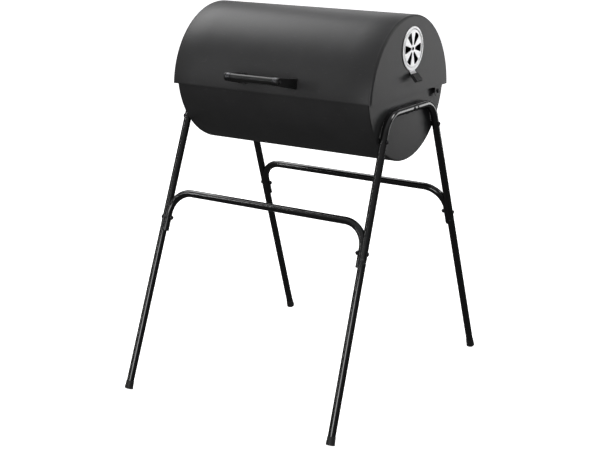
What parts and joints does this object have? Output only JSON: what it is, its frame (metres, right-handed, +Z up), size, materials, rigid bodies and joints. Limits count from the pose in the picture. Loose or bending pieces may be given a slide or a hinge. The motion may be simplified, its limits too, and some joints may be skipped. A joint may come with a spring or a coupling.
{
  "type": "barrel charcoal grill",
  "caption": "Barrel charcoal grill: hinged half-drum lid with side vents and a front handle, over a half-drum bowl with wire grates, on a splayed stand of bent tube.",
  "frame": {"origin": "on the ground under the middle of the barrel, midway between the four feet", "axes": "+X along the barrel to its right end, -Y to the handle side, +Z up"},
  "size_m": [0.6304, 0.7988, 0.9674],
  "materials": {
    "drum_paint": "satin charcoal grey heat-resistant paint",
    "tube_paint": "gloss black paint on steel tube",
    "handle_black": "satin black moulded plastic",
    "cap_plastic": "dark grey moulded plastic",
    "collar_metal": "dark satin metal ring",
    "vent_metal": "bright plated steel sheet",
    "dark_fastener": "black zinc plated steel",
    "grate_wire": "chrome plated steel wire"
  },
  "bodies": {
    "root": {"bowl_wrapper": "drum_paint", "bowl_end_right": "drum_paint", "bowl_end_left": "drum_paint", "grill_rail_front": "drum_paint", "grill_rail_rear": "drum_paint", "frame_tube_front_right": "tube_paint", "lower_leg_front_right": "tube_paint", "foot_cap_front_right": "cap_plastic", "frame_tube_rear_right": "tube_paint", "lower_leg_rear_right": "tube_paint", "foot_cap_rear_right": "cap_plastic", "frame_tube_front_left": "tube_paint", "lower_leg_front_left": "tube_paint", "foot_cap_front_left": "cap_plastic", "frame_tube_rear_left": "tube_paint", "lower_leg_rear_left": "tube_paint", "foot_cap_rear_left": "cap_plastic", "stretcher_front": "tube_paint", "stretcher_rear": "tube_paint", "stretcher_bolts": "dark_fastener", "stretcher_nuts": "dark_fastener", "frame_screws": "dark_fastener", "frame_bolts": "dark_fastener", "frame_spacers": "dark_fastener", "frame_nuts": "dark_fastener", "hinge_bolts": "dark_fastener", "hinge_spacers": "dark_fastener", "hinge_nuts": "dark_fastener"},
    "lid": {"lid_wrapper": "drum_paint", "lid_end_right": "drum_paint", "lid_end_left": "drum_paint", "lid_rest_tabs": "drum_paint", "handle_grip": "handle_black", "handle_collars": "collar_metal", "handle_arm_right": "handle_black", "handle_arm_left": "handle_black", "handle_bar_screws": "dark_fastener", "handle_foot_screws": "dark_fastener", "vent_rivets": "vent_metal"},
    "vent_right": {"vent_disc_right": "vent_metal", "vent_grip_right": "handle_black"},
    "vent_left": {"vent_disc_left": "vent_metal", "vent_grip_left": "handle_black"},
    "cooking_grill_right": {"cooking_grill_right": "grate_wire"},
    "cooking_grill_left": {"cooking_grill_left": "grate_wire"},
    "charcoal_grate_right": {"charcoal_grate_right": "grate_wire"},
    "charcoal_grate_left": {"charcoal_grate_left": "grate_wire"}
  },
  "joints": [
    {"name": "lid_hinge", "type": "hinge", "parent": "root", "child": "lid", "pos_m": [0, 0.147, 0.7636], "axis": [-1, 0, 0], "range_deg": [0, 68]},
    {"name": "vent_right_turn", "type": "hinge", "parent": "lid", "child": "vent_right", "pos_m": [0.287, 0, 0.886], "axis": [1, 0, 0], "range_deg": [-30, 30]},
    {"name": "vent_left_turn", "type": "hinge", "parent": "lid", "child": "vent_left", "pos_m": [-0.287, 0, 0.886], "axis": [1, 0, 0], "range_deg": [-30, 30]},
    {"name": "cooking_grill_right_lift", "type": "slide", "parent": "root", "child": "cooking_grill_right", "axis": [0, 0, 1], "range_m": [0, 0.05]},
    {"name": "charcoal_grate_right_lift", "type": "slide", "parent": "root", "child": "charcoal_grate_right", "axis": [0, 0, 1], "range_m": [0, 0.08]},
    {"name": "cooking_grill_left_lift", "type": "slide", "parent": "root", "child": "cooking_grill_left", "axis": [0, 0, 1], "range_m": [0, 0.05]},
    {"name": "charcoal_grate_left_lift", "type": "slide", "parent": "root", "child": "charcoal_grate_left", "axis": [0, 0, 1], "range_m": [0, 0.08]}
  ]
}
